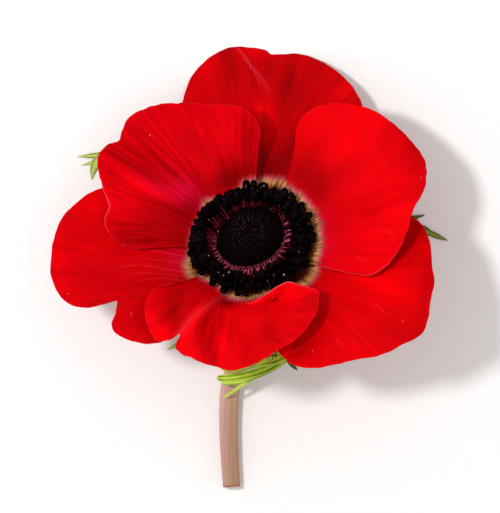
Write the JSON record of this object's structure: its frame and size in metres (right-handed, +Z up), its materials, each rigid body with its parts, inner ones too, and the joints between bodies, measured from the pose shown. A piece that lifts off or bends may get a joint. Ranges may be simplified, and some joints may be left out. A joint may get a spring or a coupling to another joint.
{
  "type": "anemone flower",
  "caption": "Cut red poppy anemone bloom with broad petals round a dark centre, bract leaves and a short stem, lying on its side.",
  "frame": {"origin": "on the surface that the flower lies on, below the middle of its box", "axes": "+Z up, away from the surface; +Y from the cut end of the stem towards the bloom; +X to the right of the bloom seen from above"},
  "size_m": [0.0884, 0.0977, 0.0438],
  "materials": {
    "petal_red": "soft satin petal skin, bright red",
    "bract_green": "matte leaf skin, yellow green",
    "stem_skin": "satin stem skin, pinkish tan",
    "pistil_black": "matte velvety near black",
    "stamen_black": "satin near black with a purple cast"
  },
  "bodies": {
    "root": {"petal_top": "petal_red", "petal_left": "petal_red", "petal_lower_right": "petal_red", "petal_upper_left": "petal_red", "petal_upper_right": "petal_red", "petal_front": "petal_red", "bract_left": "bract_green", "bract_right": "bract_green", "bract_front": "bract_green", "stem": "stem_skin", "pistil_dome": "pistil_black", "stamen_ring": "stamen_black"}
  },
  "joints": []
}
